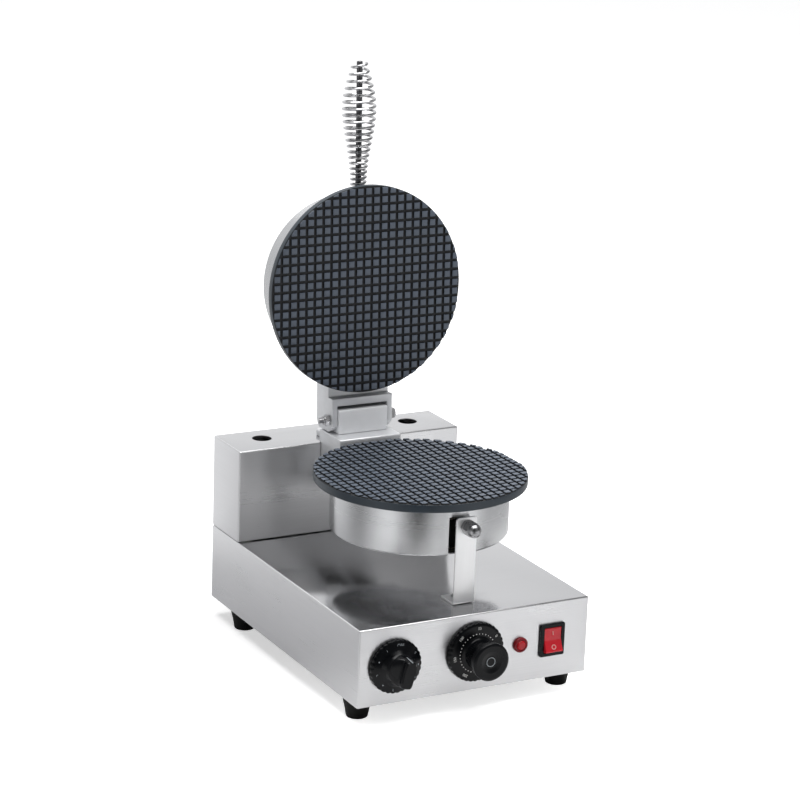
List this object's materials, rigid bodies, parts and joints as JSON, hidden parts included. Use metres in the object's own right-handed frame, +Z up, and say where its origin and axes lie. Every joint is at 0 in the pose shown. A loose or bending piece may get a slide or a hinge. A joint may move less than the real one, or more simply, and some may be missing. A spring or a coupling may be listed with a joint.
{
  "type": "waffle cone maker",
  "caption": "Countertop electric waffle cone maker: sheet-steel base with control panel, two round baking plates in drums, a fold-back lid and a coil-spring handle.",
  "frame": {"origin": "on the floor under the feet, at the centre of the bounding box's bottom face", "axes": "+Z up, +Y from the control panel to the back, +X to the operator's right"},
  "size_m": [0.25, 0.387, 0.5815],
  "materials": {
    "brushed_steel": "satin brushed stainless sheet, 1.2 mm on the casings",
    "cast_aluminium": "smooth die-cast aluminium, satin",
    "baking_coating": "slate-grey non-stick coating on a die-cast plate, satin",
    "bright_chrome": "bright plated steel",
    "fastener_steel": "zinc-plated steel screws, bolts and nuts",
    "zinc_plate": "dull zinc-plated sheet inside the casings",
    "heater_sheath": "heat-dulled stainless heater sheath",
    "mineral_wool": "matte mineral-wool felt",
    "copper_bulb": "plain brass",
    "white_insulator": "cream phenolic moulding",
    "black_plastic": "semi-gloss black phenolic moulding with white print",
    "rubber": "matte black moulded rubber",
    "lamp_ring": "dark red moulded ring",
    "lamp_red": "translucent red lens",
    "red_plastic": "glossy red translucent rocker with white marks"
  },
  "bodies": {
    "base": {"base_housing": "brushed_steel", "bottom_plate": "zinc_plate", "rear_housing": "brushed_steel", "rear_tie_strip_left": "zinc_plate", "rear_tie_strip_right": "zinc_plate", "foot_front_left": "rubber", "foot_front_right": "rubber", "foot_rear_left": "rubber", "foot_rear_right": "rubber", "foot_screw_front_left": "fastener_steel", "foot_screw_front_right": "fastener_steel", "foot_screw_rear_left": "fastener_steel", "foot_screw_rear_right": "fastener_steel", "lower_baking_plate": "baking_coating", "lower_drum": "brushed_steel", "lower_drum_cover": "brushed_steel", "lower_heating_element": "heater_sheath", "lower_heater_clamp": "zinc_plate", "lower_insulation_pad": "mineral_wool", "support_leg": "brushed_steel", "leg_bolt": "fastener_steel", "leg_spacer": "fastener_steel", "leg_hex_nut": "fastener_steel", "leg_dome_nut": "bright_chrome", "leg_foot_screw": "fastener_steel", "hinge_bracket": "cast_aluminium", "hinge_tongue": "cast_aluminium", "bracket_screw_left": "fastener_steel", "bracket_screw_right": "fastener_steel", "drum_screw_left": "fastener_steel", "drum_screw_right": "fastener_steel", "timer_body": "white_insulator", "thermostat_body": "white_insulator", "thermostat_bulb": "copper_bulb", "lamp_bezel": "lamp_ring", "lamp_lens": "lamp_red", "switch_housing": "black_plastic", "cord_gland": "black_plastic", "gland_nut": "black_plastic", "terminal_block": "white_insulator"},
    "lid": {"upper_baking_plate": "baking_coating", "upper_drum": "brushed_steel", "upper_drum_cover": "brushed_steel", "upper_heating_element": "heater_sheath", "upper_heater_clamp": "zinc_plate", "upper_insulation_pad": "mineral_wool", "hinge_arm": "cast_aluminium", "pivot_bolt": "fastener_steel", "pivot_nut": "fastener_steel", "arm_screw_left": "fastener_steel", "arm_screw_right": "fastener_steel", "handle_rod": "bright_chrome", "handle_inner_nut": "fastener_steel", "handle_outer_nut": "fastener_steel", "handle_spring_grip": "bright_chrome"},
    "timer_dial": {"timer_knob": "black_plastic", "timer_shaft": "copper_bulb"},
    "thermostat_dial": {"thermostat_knob": "black_plastic", "thermostat_shaft": "copper_bulb"},
    "power_rocker": {"switch_rocker": "red_plastic"}
  },
  "joints": [
    {"name": "lid_hinge", "type": "hinge", "parent": "base", "child": "lid", "pos_m": [0, 0.0958, 0.2222], "axis": [1, 0, 0], "range_deg": [0, 92.2]},
    {"name": "timer_turn", "type": "hinge", "parent": "base", "child": "timer_dial", "pos_m": [-0.0874, -0.159, 0.0584], "axis": [0, 1, 0], "range_deg": [0, 313]},
    {"name": "thermostat_turn", "type": "hinge", "parent": "base", "child": "thermostat_dial", "pos_m": [-0.001, -0.159, 0.0598], "axis": [0, 1, 0], "range_deg": [-54, 251]},
    {"name": "power_rock", "type": "hinge", "parent": "base", "child": "power_rocker", "pos_m": [0.0846, -0.159, 0.0588], "axis": [1, 0, 0], "range_deg": [0, 24]}
  ]
}
